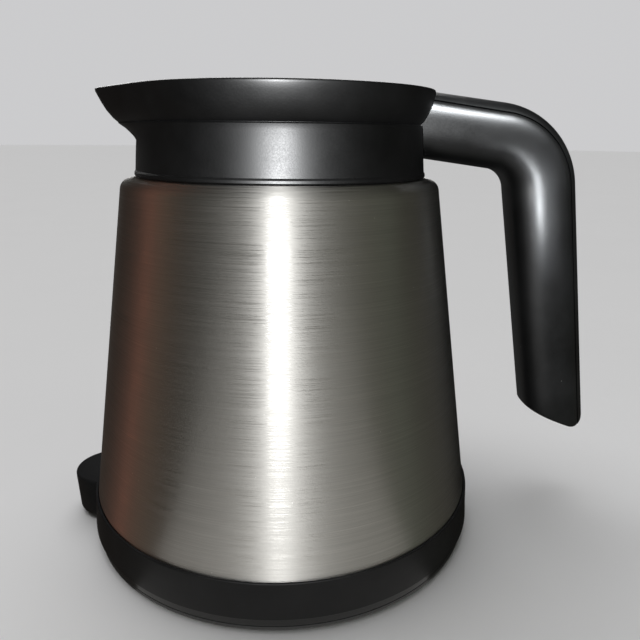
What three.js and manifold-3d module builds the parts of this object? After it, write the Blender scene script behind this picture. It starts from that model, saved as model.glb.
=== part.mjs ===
// Insulated serving carafe: a double-wall steel flask with a black pouring collar, a docking base and a
// free-ended handle, closed by a lid that lifts out. Millimetres, +Z up. The flask's axis is the Z axis and
// the carafe stands on z = 0, with its handle towards +X and its spout towards -X.
import * as THREE from "three";
import { mergeVertices } from "three/addons/utils/BufferGeometryUtils.js";
import Module from "manifold-3d";

const wasm = await Module();
wasm.setup();

const gap = 0.3; // left between pieces that touch
const sides = 48; // facets round a large turned piece
const midSides = 36;
const smallSides = 24;
const screwSides = 20;
const fine = 0.01; // shortest step that counts as a different point

// Heights above the table.
const padTop = 1.3;
const shellFoot = 6; // lower edge of the outer shell, inside the base
const ringTop = 17; // upper edge of the base ring
const shoulderZ = 124.2; // where the tapered wall starts to turn in
const collarFoot = 129.1;
const grooveZ = 145.7; // line between the collar's band and its flared lip
const mouthZ = 149; // top of the flask's rolled mouth
const rimZ = 156.5; // top of the pouring lip

// Radii.
const shellFootR = 70; // outer shell where it meets the ring
const shellStep = 0.6; // how far the shell steps in below the ring's edge
const taper = 0.149; // how fast the shell narrows with height
const sheet = 0.8; // steel thickness
const vacuum = 4.4; // space between the two walls
const neckR = 38.6; // outside of the outer shell's neck
const boreR = 36.7; // inside of the flask's neck
const ringR = 71.8; // widest part of the base ring
const bandR = 49; // collar band at its foot
const rimR = 51.4; // pouring lip
const spoutReach = 62.4; // spout tip from the axis

// Docking lug on the base, opposite the handle.
const lugR = 12.5;
const lugX = -68.2;

// Handle: a straight arm, a bend and a straight grip that follows the shell's taper.
const armStart = new THREE.Vector2(45.5, 146.4);
const elbow = new THREE.Vector2(89.1, 140.8);
const gripEnd = new THREE.Vector2(106.5, 36.6);
const elbowRadius = 20;
const rootDepth = 11; // half of the handle's depth, in its own plane
const gripDepth = 12;
const endDepth = 11.2;
const handleHalfWidth = 11.5;
const spineDepth = 4; // thickness of the spine cover
const gripWall = 2.4;
const rootPlug = 9; // length of the solid stretch at each end of the grip's channel
const endPlug = 4;
const endSlant = 0.6; // how far the lower end runs on, for each millimetre outwards
const roundSteps = 7; // points round a quarter of the handle's section
const bendSteps = 9;

// Root screws, which pass from inside the collar band into the arm's solid end.
const screwPlaces = [-5.5, 5.5];
const screwZ = 140.4;
const screwR = 1.5;
const screwHeadR = 2.5;
const screwHeadHeight = 1.3;
const screwLength = 10;
const screwSeatX = 44.3;

// Lid.
const stopperR = 34;
const stopperFoot = 134.2;
const stopperWall = 1.8;
const flangeR = 40;
const dialR = 44.2;
const dialFoot = 151.1;
const dialTop = 155.4;
const tubeR = 8.5;
const tubeBore = 6.6;
const tubeFoot = 131.7;
const portInnerR = 16;
const portOuterR = 29;
const portHalfAngle = THREE.MathUtils.degToRad(26);
const pourTurn = THREE.MathUtils.degToRad(75); // dial travel from closed to pouring
const floatTravel = 3;
const cageFoot = 123.8;
const cageFloor = cageFoot + 1.4;

const finishes = {
  steel: { color: 0x9b958c, roughness: 0.32, metalness: 1 },
  innerSteel: { color: 0xb9b9b6, roughness: 0.22, metalness: 1 },
  blackPlastic: { color: 0x101113, roughness: 0.42, metalness: 0 },
  lidPlastic: { color: 0x141518, roughness: 0.5, metalness: 0 },
  rubber: { color: 0x0c0c0d, roughness: 0.8, metalness: 0 },
  silicone: { color: 0x8e9092, roughness: 0.6, metalness: 0 },
  zinc: { color: 0xa8a9ab, roughness: 0.4, metalness: 1 },
};

const carafe = new THREE.Group();

function addPiece(name, geometry, finish) {
  const mesh = new THREE.Mesh(geometry, new THREE.MeshStandardMaterial(finishes[finish]));
  mesh.name = name;
  carafe.add(mesh);
  return mesh;
}

// A closed outline [radius, height] that lists its outer side going up, turned about the Z axis.
function turned(outline, facets = sides) {
  const points = outline.map(([r, z]) => new THREE.Vector2(r, z));
  const onAxis = outline[0][0] < fine;
  if (!onAxis) points.push(points[0].clone());
  return new THREE.LatheGeometry(points, facets).rotateX(Math.PI / 2);
}

function toSolid(geometry) {
  const bare = geometry.index ? geometry.toNonIndexed() : geometry.clone();
  bare.deleteAttribute("normal");
  bare.deleteAttribute("uv");
  const merged = mergeVertices(bare, 1e-4);
  return new wasm.Manifold(
    new wasm.Mesh({
      numProp: 3,
      vertProperties: merged.attributes.position.array,
      triVerts: new Uint32Array(merged.index.array),
    }),
  );
}

function toGeometry(solid) {
  const { vertProperties, triVerts } = solid.getMesh();
  const geometry = new THREE.BufferGeometry();
  geometry.setAttribute("position", new THREE.BufferAttribute(vertProperties, 3));
  geometry.setIndex(new THREE.BufferAttribute(triVerts, 1));
  geometry.computeVertexNormals();
  return geometry;
}

function cut(geometry, ...tools) {
  return toGeometry(tools.reduce((solid, tool) => solid.subtract(toSolid(tool)), toSolid(geometry)));
}

function join(geometry, ...others) {
  return toGeometry(others.reduce((solid, other) => solid.add(toSolid(other)), toSolid(geometry)));
}

// Skin over rings of points that all hold the same count. The rings run on into each other when the row of
// rings is closed, and end in flat fans when it is not.
function skin(rings, closed) {
  const count = rings[0].length;
  const points = rings.flat();
  const faces = [];
  const strips = closed ? rings.length : rings.length - 1;
  for (let i = 0; i < strips; i++) {
    const low = i * count;
    const high = ((i + 1) % rings.length) * count;
    for (let j = 0; j < count; j++) {
      const next = (j + 1) % count;
      faces.push(low + j, low + next, high + next, low + j, high + next, high + j);
    }
  }
  if (!closed) {
    faces.push(...endFan(rings[0], 0, true));
    faces.push(...endFan(rings.at(-1), (rings.length - 1) * count, false));
  }
  const geometry = new THREE.BufferGeometry().setFromPoints(points);
  geometry.setIndex(faces);
  geometry.computeVertexNormals();
  return geometry;
}

// Triangles over one end ring. The ring is laid flat in its own plane first, so a hollow outline works too.
function endFan(ring, first, turnedOver) {
  const origin = ring[0];
  const across = ring[Math.floor(ring.length / 4)].clone().sub(origin).normalize();
  const normal = new THREE.Vector3();
  ring.forEach((p, i) => {
    const q = ring[(i + 1) % ring.length];
    normal.add(p.clone().sub(origin).cross(q.clone().sub(origin)));
  });
  normal.normalize();
  const up = normal.clone().cross(across).normalize();
  const side = up.clone().cross(normal);
  const flat = ring.map((p) => {
    const d = p.clone().sub(origin);
    return new THREE.Vector2(d.dot(side), d.dot(up));
  });
  return THREE.ShapeUtils.triangulateShape(flat, [])
    .map(([a, b, c]) => (turnedOver ? [c, b, a] : [a, b, c]))
    .flat()
    .map((i) => i + first);
}

function shellR(z) {
  return shellFootR - taper * (z - ringTop);
}

function flaskR(z) {
  return shellR(z) - sheet - vacuum;
}

// ---- vacuum flask ----

function outerShell() {
  const inner = shellFootR - shellStep;
  const outside = [
    [inner, shellFoot],
    [inner, ringTop - 0.8],
    [shellFootR, ringTop],
    [shellR(shoulderZ), shoulderZ],
    [shellR(shoulderZ) - 0.9, shoulderZ + 2.1],
    [shellR(shoulderZ) - 2.6, shoulderZ + 3.7],
    [bandR, shoulderZ + 4.3],
    [neckR + 2, collarFoot],
    [neckR, collarFoot + 2],
    [neckR, mouthZ - sheet - gap],
  ];
  const inside = [
    [neckR - sheet, mouthZ - sheet - gap],
    [neckR - sheet, collarFoot + 1.6],
    [neckR + 1.6, collarFoot - sheet],
    [bandR, shoulderZ + 3.4],
    [shellR(shoulderZ) - 2.9, shoulderZ + 2.8],
    [shellR(shoulderZ) - 1.6, shoulderZ + 1.7],
    [shellR(shoulderZ) - sheet, shoulderZ - 0.2],
    [shellFootR - sheet, ringTop + 0.3],
    [inner - sheet, ringTop - 0.9],
    [inner - sheet, shellFoot],
  ];
  return turned([...outside, ...inside]);
}

function innerFlask() {
  const floorZ = 11;
  const lowZ = 21.6; // top of the rounded floor corner
  const highZ = 119.2; // start of the flask's own shoulder
  const outside = [
    [0, floorZ],
    [flaskR(lowZ) - 9, floorZ],
    [flaskR(lowZ) - 2.6, floorZ + 3.2],
    [flaskR(lowZ), lowZ],
    [flaskR(highZ), highZ],
    [flaskR(highZ) - 2.4, highZ + 4],
    [flaskR(highZ) - 6, highZ + 6.2],
    [boreR + sheet + 1.2, highZ + 8],
    [boreR + sheet, highZ + 10.4],
    [boreR + sheet, mouthZ - sheet],
    [neckR + 0.8, mouthZ - sheet],
    [neckR + 0.8, mouthZ],
  ];
  const inside = [
    [boreR, mouthZ],
    [boreR, highZ + 10.2],
    [boreR + 1, highZ + 7.4],
    [flaskR(highZ) - 6.3, highZ + 5.4],
    [flaskR(highZ) - 3, highZ + 3.5],
    [flaskR(highZ) - sheet, highZ - 0.2],
    [flaskR(lowZ) - sheet, lowZ],
    [flaskR(lowZ) - 3.3, floorZ + 3.9],
    [flaskR(lowZ) - 9.4, floorZ + sheet],
    [0, floorZ + sheet],
  ];
  return turned([...outside, ...inside]);
}

// Pressed closing disc inside the outer shell's lower edge.
function shellBottom() {
  const wall = shellFootR - shellStep - sheet - gap;
  const stepR = 52;
  const low = shellFoot + 0.2;
  return turned([
    [0, low + 1],
    [stepR, low + 1],
    [stepR + 2, low],
    [wall, low],
    [wall, low + 3.6],
    [wall - sheet, low + 3.6],
    [wall - sheet, low + sheet],
    [stepR + 2.3, low + sheet],
    [stepR + 0.3, low + 1 + sheet],
    [0, low + 1 + sheet],
  ], midSides);
}

function sealCap() {
  return turned([[0, 5.4], [4.5, 5.4], [5.2, 5.8], [5.2, 6.9], [0, 6.9]], smallSides);
}

function getterCup() {
  return turned([[0, 8.6], [6, 8.6], [6.6, 9.4], [6.6, 10.7], [0, 10.7]], smallSides);
}

// ---- base ----

function baseCup() {
  const bore = shellFootR - shellStep + gap;
  const holeR = 9;
  const cup = turned([
    [holeR, padTop + gap],
    [ringR - 0.7, padTop + gap],
    [ringR, 4.6],
    [ringR - 0.4, 10.6],
    [shellFootR + 1.3, ringTop - 0.7],
    [shellFootR + 0.8, ringTop],
    [shellFootR + gap, ringTop],
    [bore, ringTop - 0.9],
    [bore, shellFoot - gap],
    [bore - 9, shellFoot - gap],
    [bore - 12, 4.6],
    [holeR, 4.6],
  ]);
  const lug = turned([
    [0, padTop + gap],
    [lugR - 1.2, padTop + gap],
    [lugR - 0.7, 2.6],
    [lugR, ringTop - 1],
    [lugR - 0.9, ringTop],
    [0, ringTop],
  ], smallSides).translate(lugX, 0, 0);
  const inside = turned([
    [0, padTop],
    [bore + 0.6, padTop],
    [bore + 0.6, ringTop + 1],
    [0, ringTop + 1],
  ]);
  return join(cup, cut(lug, inside));
}

function footPad() {
  const padR = ringR - 1.2;
  return turned([[0, 0], [padR - 0.5, 0], [padR, 0.5], [padR, padTop], [0, padTop]]);
}

// ---- pouring collar ----

// One level of the collar: a circle of radius r whose -X side draws out to a point at reach. The sides of
// the point run straight to the circle.
function spoutRing(r, reach, z) {
  const ring = [];
  const tangent = reach > r ? Math.acos(r / reach) : 0;
  const round = 0.05; // softens the point
  for (let i = 0; i < sides; i++) {
    const angle = (2 * Math.PI * i) / sides;
    const fromSpout = Math.hypot(Math.abs(angle - Math.PI), round) - round / 2;
    const radius = fromSpout < tangent ? r / Math.cos(tangent - fromSpout) : r;
    ring.push(new THREE.Vector3(radius * Math.cos(angle), radius * Math.sin(angle), z));
  }
  return ring;
}

// Outside of the collar from its foot to its rim: [radius, spout reach, height].
const collarOutside = [
  [bandR, 0, collarFoot],
  [bandR + 0.3, 0, collarFoot + 0.8],
  [bandR - 0.1, 0, collarFoot + 1.8],
  [48.5, 0, 135.2],
  [48, 48, 140.2],
  [47, 52.8, 143.8],
  [46.8, 55.4, grooveZ],
  [47.8, 56.7, 146.8],
  [49.4, 59, 149.4],
  [50.7, 61.2, 153.2],
  [rimR, spoutReach, 155.8],
  [rimR - 0.3, spoutReach - 0.3, rimZ],
];

function pourCollar() {
  const sleeveR = neckR + 2;
  const inside = [
    [rimR - 1.6, spoutReach - 2.6, rimZ],
    [49.1, 58.4, 153.2],
    [47.6, 55.6, 151],
    [44.6, 49, 150.1],
    [sleeveR, 0, 149.3],
    [sleeveR, 0, 135.4],
    [sleeveR + 2, 0, 135.4],
    [sleeveR + 2, 0, 146.6],
    [44.8, 0, 146.6],
    [45.9, 0, 140.2],
    [46.8, 0, collarFoot + 1.4],
    [46.8, 0, collarFoot],
  ];
  const rings = [...collarOutside, ...inside].map((level) => spoutRing(level[0], level[1], level[2]));
  return cut(skin(rings, true), ...screwPlaces.map((y) => screwHole(y)));
}

function neckGasket() {
  const inner = neckR + gap;
  const outer = neckR + 2 - gap;
  return turned([
    [inner, 141.7],
    [outer, 141.7],
    [outer, 143.2],
    [outer - 0.4, 144.2],
    [outer, 145.2],
    [outer, 146.8],
    [inner, 146.8],
  ], midSides);
}

function lockRing() {
  const inner = neckR + 4 + gap;
  return turned([
    [inner, 130.2],
    [46.2, 130.2],
    [45.6, 133.7],
    [44.6, 135.6],
    [inner, 135.6],
  ], midSides);
}

// ---- handle ----

// Stations along the handle's middle line: where it is, its direction, and its half depth there.
function handleStations() {
  const armDirection = elbow.clone().sub(armStart).normalize();
  const gripDirection = gripEnd.clone().sub(elbow).normalize();
  const turn = Math.acos(armDirection.dot(gripDirection));
  const setback = elbowRadius * Math.tan(turn / 2);
  const bendStart = elbow.clone().addScaledVector(armDirection, -setback);
  const bendEnd = elbow.clone().addScaledVector(gripDirection, setback);
  const inward = new THREE.Vector2(armDirection.y, -armDirection.x);
  const centre = bendStart.clone().addScaledVector(inward, elbowRadius);
  const stations = [
    { at: armStart, along: armDirection, depth: rootDepth },
    { at: bendStart, along: armDirection, depth: rootDepth + 0.2 },
  ];
  for (let i = 1; i < bendSteps; i++) {
    const angle = (-turn * i) / bendSteps;
    const at = bendStart.clone().rotateAround(centre, angle);
    const along = armDirection.clone().rotateAround(new THREE.Vector2(), angle);
    stations.push({ at, along, depth: THREE.MathUtils.lerp(rootDepth + 0.2, gripDepth, i / bendSteps) });
  }
  stations.push({ at: bendEnd, along: gripDirection, depth: gripDepth });
  for (const t of [0.3, 0.6, 0.9]) {
    const depth = THREE.MathUtils.lerp(gripDepth, endDepth, t);
    stations.push({ at: bendEnd.clone().lerp(gripEnd, t), along: gripDirection, depth });
  }
  stations.push({ at: gripEnd, along: gripDirection, depth: endDepth, end: true });
  return stations;
}

// Points of a section, each [out, side] about the middle line, placed at one station. The last station is
// slanted, because the handle's lower end runs on further at its outer edge.
function placeSection(station, section) {
  const outward = new THREE.Vector2(-station.along.y, station.along.x);
  return section(station.depth).map(([out, side]) => {
    const slide = station.end ? out * endSlant : 0;
    const p = station.at.clone().addScaledVector(outward, out).addScaledVector(station.along, slide);
    return new THREE.Vector3(p.x, -side, p.y);
  });
}

// Half width of the handle's rounded section at a distance out from its middle line.
function sectionWidth(depth, out, halfWidth) {
  const power = 2.6;
  return halfWidth * Math.max(0, 1 - Math.abs(out / depth) ** power) ** (1 / power);
}

// The grip is a rounded channel that opens outwards, where the spine cover closes it.
function gripSection(depth) {
  const seam = depth - spineDepth - gap;
  const outer = [];
  for (let i = 0; i <= roundSteps; i++) {
    const angle = (Math.PI / 2) * (i / roundSteps);
    const out = seam - (seam + depth) * Math.sin(angle);
    outer.push([out, sectionWidth(depth, out, handleHalfWidth)]);
  }
  const floor = -depth + gripWall + 0.8;
  const edge = sectionWidth(depth, seam, handleHalfWidth) - gripWall;
  const nearFloor = sectionWidth(depth, floor + 2, handleHalfWidth) - gripWall;
  const channel = [
    [seam, edge],
    [floor + 2.5, nearFloor],
    [floor, nearFloor - 2.5],
  ];
  const left = outer.slice(0, -1).reverse().map(([out, side]) => [out, -side]);
  const channelLeft = channel.map(([out, side]) => [out, -side]);
  return [...outer, ...left, ...channelLeft, ...channel.reverse()];
}

// The spine cover is the outer slice of the same section, with a rib that sits inside the channel.
function spineSection(depth) {
  const seam = depth - spineDepth;
  const outer = [];
  for (let i = 0; i <= roundSteps; i++) {
    const out = seam + (depth - seam) * Math.sin((Math.PI / 2) * (i / roundSteps));
    outer.push([out, -sectionWidth(depth, out, handleHalfWidth)]);
  }
  const rib = sectionWidth(depth, seam, handleHalfWidth) - gripWall - 0.6;
  const right = outer.slice(0, -1).reverse().map(([out, side]) => [out, -side]);
  return [...outer, ...right, [seam, rib], [seam - 1.6, rib], [seam - 1.6, -rib], [seam, -rib]];
}

function bracketSection(depth) {
  const floor = -depth + gripWall + 0.8;
  const half = 4.5;
  const low = floor + 0.6;
  return [[low, -half], [low + 1.5, -half], [low + 1.5, half], [low, half]];
}

// What the collar takes out of the handle's root.
function collarClearance() {
  const topZ = rimZ + 6;
  const outside = collarOutside.map(([r, , z]) => [r + gap, z]);
  return turned([
    [0, collarFoot],
    ...outside,
    [rimR + gap, topZ],
    [0, topZ],
  ]);
}

// A stretch at the handle's root or lower end as a pair of stations. It may run past the handle's end.
function endStretch(atRoot, length, past = 0) {
  const stations = handleStations();
  const last = atRoot ? stations[0] : stations.at(-1);
  const inward = atRoot ? 1 : -1;
  const inner = { ...last, at: last.at.clone().addScaledVector(last.along, inward * length) };
  const outer = { ...last, at: last.at.clone().addScaledVector(last.along, -inward * past) };
  return atRoot ? [outer, inner] : [inner, outer];
}

// A solid plug in the grip's channel, set a little below the channel's edges. The root screws bite into the
// first one, and the second closes the lower end.
function channelPlug(atRoot, length) {
  const inset = 0.35;
  const corner = 3;
  const section = (depth) => {
    const out = depth - spineDepth - gap - inset;
    const low = -depth + gripWall;
    const half = handleHalfWidth - gripWall;
    return [
      [low, -half + corner],
      [low + corner, -half],
      [out, -half],
      [out, half],
      [low + corner, half],
      [low, half - corner],
    ];
  };
  const rings = endStretch(atRoot, length, -inset).map((station) => placeSection(station, section));
  return skin(rings, false);
}

// What the spine's rib leaves free over a plug.
function plugClearance(atRoot, length) {
  const half = handleHalfWidth + 0.5;
  const ribRoom = 3;
  const overrun = 2;
  const section = (depth) => {
    const out = depth - spineDepth;
    return [[out - ribRoom, -half], [out, -half], [out, half], [out - ribRoom, half]];
  };
  const rings = endStretch(atRoot, length, overrun).map((station) => placeSection(station, section));
  return skin(rings, false);
}

function handleGrip() {
  const rings = handleStations().map((station) => placeSection(station, gripSection));
  const whole = join(skin(rings, false), channelPlug(true, rootPlug), channelPlug(false, endPlug));
  return cut(whole, collarClearance(), ...screwPlaces.map((y) => screwHole(y)));
}

function handleSpine() {
  const rings = handleStations().map((station) => placeSection(station, spineSection));
  const clearances = [plugClearance(true, rootPlug + gap), plugClearance(false, endPlug + gap)];
  return cut(skin(rings, false), collarClearance(), ...clearances);
}

function handleBracket() {
  const stations = handleStations().slice(1, -2);
  return skin(stations.map((station) => placeSection(station, bracketSection)), false);
}

function alongX(geometry, x, y, z) {
  return geometry.rotateY(Math.PI / 2).translate(x, y, z);
}

function screwHole(y) {
  const length = screwLength + 2;
  const bore = screwR + gap;
  const hole = turned([[0, 0], [bore, 0], [bore, length], [0, length]], screwSides);
  return alongX(hole, screwSeatX - gap, y, screwZ);
}

// A pan-head screw that points along +Z before it is placed.
function panScrew() {
  return turned([
    [0, -screwHeadHeight],
    [screwHeadR - 0.8, -screwHeadHeight],
    [screwHeadR, -0.6],
    [screwHeadR, 0],
    [screwR, 0],
    [screwR, screwLength - 1.2],
    [0.4, screwLength],
    [0, screwLength],
  ], screwSides);
}

// ---- lid ----

// Annular window centred on an azimuth, used for the pouring ports.
function sectorTool(innerR, outerR, azimuth, halfAngle, bottom, top) {
  const shape = new THREE.Shape();
  shape.absarc(0, 0, outerR, azimuth - halfAngle, azimuth + halfAngle, false);
  shape.absarc(0, 0, innerR, azimuth + halfAngle, azimuth - halfAngle, true);
  const settings = { depth: top - bottom, bevelEnabled: false, curveSegments: 10 };
  return new THREE.ExtrudeGeometry(shape, settings).translate(0, 0, bottom);
}

function lidStopper() {
  const floorTop = stopperFoot + stopperWall;
  const cup = turned([
    [tubeR + 0.5, stopperFoot],
    [stopperR - 1, stopperFoot],
    [stopperR, stopperFoot + 1],
    [stopperR, mouthZ + gap],
    [flangeR, mouthZ + gap],
    [flangeR, dialFoot - gap],
    [stopperR - stopperWall, dialFoot - gap],
    [stopperR - stopperWall, floorTop],
    [tubeR + 0.5, floorTop],
  ]);
  const port = sectorTool(portInnerR, portOuterR, Math.PI, portHalfAngle, stopperFoot - 1, floorTop + 1);
  return cut(cup, port);
}

function lidGasket() {
  const inner = stopperR + gap;
  const outer = boreR - gap;
  return turned([
    [inner, 139.2],
    [outer - 0.6, 139.2],
    [outer, 140.2],
    [outer - 0.7, 141.6],
    [outer, 143],
    [outer - 0.6, 144],
    [inner, 144],
  ], midSides);
}

// One of the two upright ribs that the fingers turn the dial by.
function dialWing() {
  const width = 4.4;
  const side = new THREE.Shape();
  side.moveTo(12, dialFoot - 4);
  side.lineTo(28, dialFoot - 2.2);
  side.lineTo(31.4, dialFoot + 0.2);
  side.lineTo(dialR - 1, dialFoot + 0.4);
  side.lineTo(dialR - 1, dialTop - 0.4);
  side.lineTo(18, dialTop - 0.4);
  side.lineTo(12, dialTop - 2.4);
  const rib = new THREE.ExtrudeGeometry(side, { depth: width, bevelEnabled: false });
  return rib.rotateX(Math.PI / 2).translate(0, width / 2, 0);
}

function lidDial() {
  const dish = turned([
    [tubeBore, tubeFoot],
    [tubeR, tubeFoot],
    [tubeR, dialFoot - 6.4],
    [13, dialFoot - 4.4],
    [28, dialFoot - 2.7],
    [31.6, dialFoot],
    [dialR - 0.8, dialFoot],
    [dialR, dialFoot + 0.8],
    [dialR, dialTop - 0.9],
    [dialR - 0.9, dialTop],
    [dialR - 2.4, dialTop],
    [dialR - 3.4, dialTop - 1.9],
    [33, dialTop - 2.8],
    [28, dialFoot - 0.7],
    [13, dialFoot - 2.4],
    [tubeBore, dialFoot - 5.2],
  ]);
  const wings = [dialWing(), dialWing().rotateZ(Math.PI)];
  const azimuth = Math.PI - pourTurn;
  const notch = sectorTool(31, dialR + 2, azimuth, portHalfAngle - 0.06, dialFoot - 1, dialTop + 1);
  return cut(join(dish, ...wings), notch);
}

// The plate that covers the stopper's port until the dial is turned.
function dialShutter() {
  const low = stopperFoot + stopperWall + gap;
  const outer = stopperR - stopperWall - gap;
  const thickness = 1.4;
  const plate = turned([
    [tubeR + gap, low],
    [outer, low],
    [outer, low + thickness],
    [tubeR + 3, low + thickness],
    [tubeR + 2.4, low + 4],
    [tubeR + gap, low + 4],
  ]);
  const azimuth = Math.PI - pourTurn;
  return cut(plate, sectorTool(portInnerR + 0.5, portOuterR - 0.5, azimuth, portHalfAngle, low - 1, low + 2));
}

function dialRetainer() {
  const top = stopperFoot - gap;
  const inner = tubeR + gap;
  const outer = 12;
  return turned([
    [inner, top - 1.5],
    [outer - 0.4, top - 1.5],
    [outer, top - 1],
    [outer, top],
    [inner, top],
  ], smallSides);
}

function valveCage() {
  const top = stopperFoot - gap;
  const wallR = 14.2;
  const cage = turned([
    [3, cageFoot],
    [wallR - 1, cageFoot],
    [wallR, cageFoot + 1],
    [wallR, top],
    [wallR - 1.6, top],
    [wallR - 1.6, cageFloor],
    [3, cageFloor],
  ], smallSides);
  const windows = [0, 1, 2, 3].map((i) => {
    const azimuth = Math.PI / 4 + (i * Math.PI) / 2;
    return sectorTool(wallR - 3, wallR + 1, azimuth, 0.55, cageFloor + 0.4, top - 2);
  });
  return cut(cage, ...windows);
}

function valveFloat() {
  const low = cageFloor + gap;
  const top = tubeFoot - gap - floatTravel;
  const stemR = 6.6;
  const headR = 9.4;
  const headHeight = 1.1;
  return turned([
    [0, low],
    [stemR - 1, low],
    [stemR, low + 1],
    [stemR, top - headHeight],
    [headR, top - headHeight],
    [headR, top],
    [0, top],
  ], smallSides);
}

addPiece("outer_shell", outerShell(), "steel");
addPiece("inner_flask", innerFlask(), "innerSteel");
addPiece("shell_bottom", shellBottom(), "steel");
addPiece("seal_cap", sealCap(), "steel");
addPiece("getter_cup", getterCup(), "steel");
addPiece("base_cup", baseCup(), "blackPlastic");
addPiece("foot_pad", footPad(), "rubber");
addPiece("pour_collar", pourCollar(), "blackPlastic");
addPiece("neck_gasket", neckGasket(), "silicone");
addPiece("collar_lock_ring", lockRing(), "lidPlastic");
addPiece("handle_grip", handleGrip(), "blackPlastic");
addPiece("handle_spine", handleSpine(), "blackPlastic");
addPiece("handle_bracket", handleBracket(), "zinc");
screwPlaces.forEach((y, i) => {
  addPiece(`handle_screw_${i + 1}`, alongX(panScrew(), screwSeatX, y, screwZ), "zinc");
});
addPiece("lid_stopper", lidStopper(), "lidPlastic");
addPiece("lid_gasket", lidGasket(), "silicone");
addPiece("valve_cage", valveCage(), "lidPlastic");
addPiece("valve_float", valveFloat(), "silicone");
addPiece("lid_dial", lidDial(), "lidPlastic");
addPiece("dial_shutter", dialShutter(), "lidPlastic");
addPiece("dial_retainer", dialRetainer(), "zinc");

export default carafe;
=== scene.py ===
import math

import bmesh
import bpy
from mathutils import Matrix, Vector


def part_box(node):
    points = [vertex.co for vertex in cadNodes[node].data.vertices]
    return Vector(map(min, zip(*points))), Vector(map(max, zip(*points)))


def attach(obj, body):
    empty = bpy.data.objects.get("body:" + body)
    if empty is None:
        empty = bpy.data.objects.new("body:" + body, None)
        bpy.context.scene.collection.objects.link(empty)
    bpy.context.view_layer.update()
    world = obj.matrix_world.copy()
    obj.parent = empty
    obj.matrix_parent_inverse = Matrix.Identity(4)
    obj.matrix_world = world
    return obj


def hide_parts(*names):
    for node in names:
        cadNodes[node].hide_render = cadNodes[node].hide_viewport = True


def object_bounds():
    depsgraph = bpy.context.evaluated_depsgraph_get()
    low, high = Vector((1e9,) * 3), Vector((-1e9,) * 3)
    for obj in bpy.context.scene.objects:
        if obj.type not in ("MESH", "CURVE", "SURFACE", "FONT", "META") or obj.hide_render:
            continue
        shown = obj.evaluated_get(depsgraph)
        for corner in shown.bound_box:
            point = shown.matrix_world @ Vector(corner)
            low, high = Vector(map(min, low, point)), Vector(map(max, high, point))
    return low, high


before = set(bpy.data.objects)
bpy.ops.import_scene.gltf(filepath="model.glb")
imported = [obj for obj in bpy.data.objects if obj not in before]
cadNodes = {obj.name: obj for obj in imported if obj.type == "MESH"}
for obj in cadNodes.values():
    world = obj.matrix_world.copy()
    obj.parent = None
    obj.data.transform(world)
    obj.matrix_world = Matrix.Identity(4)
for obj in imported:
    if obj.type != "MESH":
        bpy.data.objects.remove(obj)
cadLow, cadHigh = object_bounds()
mm = 0.001
tau = 2 * math.pi


def clearSelection():
    if bpy.context.object and bpy.context.object.mode != "OBJECT":
        bpy.ops.object.mode_set(mode="OBJECT")
    bpy.ops.object.select_all(action="DESELECT")


def makeActive(piece):
    clearSelection()
    bpy.context.view_layer.objects.active = piece
    piece.select_set(True)


def nameNewPiece(name):
    piece = bpy.context.object
    piece.name = name
    piece.data.name = name
    bpy.ops.object.transform_apply(location=True, rotation=True, scale=True)
    return piece


def applyModifier(piece, kind, **settings):
    makeActive(piece)
    bpy.ops.object.modifier_add(type=kind)
    modifier = piece.modifiers[-1]
    for key, value in settings.items():
        setattr(modifier, key, value)
    bpy.ops.object.modifier_apply(modifier=modifier.name)


def closeUp(piece, mergeAt=0.00001):  # merges doubles and turns every face outwards
    makeActive(piece)
    bpy.ops.object.mode_set(mode="EDIT")
    bpy.ops.mesh.select_all(action="SELECT")
    bpy.ops.mesh.remove_doubles(threshold=mergeAt)
    bpy.ops.mesh.normals_make_consistent(inside=False)
    bpy.ops.object.mode_set(mode="OBJECT")


def smoothPiece(piece, angle=34):
    makeActive(piece)
    bpy.ops.object.shade_smooth_by_angle(angle=math.radians(angle))


def softenEdges(piece, width, segments=3, angle=34):
    applyModifier(
        piece, "BEVEL", width=width, segments=segments,
        limit_method="ANGLE", angle_limit=math.radians(angle), harden_normals=False,
    )


def filletOutline(corners, steps=5):  # corners of a closed outline: (radius, height, fillet) in mm
    points = []
    for index, (r, z, fillet) in enumerate(corners):
        here = Vector((r, z))
        if not fillet:
            points.append(here)
            continue
        before = Vector(corners[index - 1][:2]) - here
        after = Vector(corners[(index + 1) % len(corners)][:2]) - here
        half = before.angle(after) / 2
        reach = min(fillet / math.tan(half), 0.48 * before.length, 0.48 * after.length)
        radius = reach * math.tan(half)
        middle = here + (before.normalized() + after.normalized()).normalized() * radius / math.sin(half)
        start = here + before.normalized() * reach - middle
        end = here + after.normalized() * reach - middle
        sweep = math.atan2(start.cross(end), start.dot(end))
        for step in range(steps + 1):
            points.append(middle + Matrix.Rotation(sweep * step / steps, 2) @ start)
    return points


def drawOutline(name, points, closed=True):  # one point, pushed on from place to place in the XZ plane
    clearSelection()
    first = points[0] * mm
    bpy.ops.mesh.primitive_plane_add(size=0.001, location=(first.x, 0, first.y))
    piece = nameNewPiece(name)
    bpy.ops.object.mode_set(mode="EDIT")
    bpy.ops.mesh.select_all(action="SELECT")
    bpy.ops.mesh.merge(type="CENTER")
    for here, there in zip(points, points[1:]):
        step = (there - here) * mm
        bpy.ops.mesh.extrude_vertices_move(TRANSFORM_OT_translate={"value": (step.x, 0, step.y)})
    if closed:
        mesh = bmesh.from_edit_mesh(piece.data)
        mesh.verts.ensure_lookup_table()
        ends = [v for v in mesh.verts if len(v.link_edges) == 1]
        for v in mesh.verts:
            v.select = v in ends
        bmesh.update_edit_mesh(piece.data)
        bpy.ops.mesh.edge_face_add()
    return piece


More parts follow.
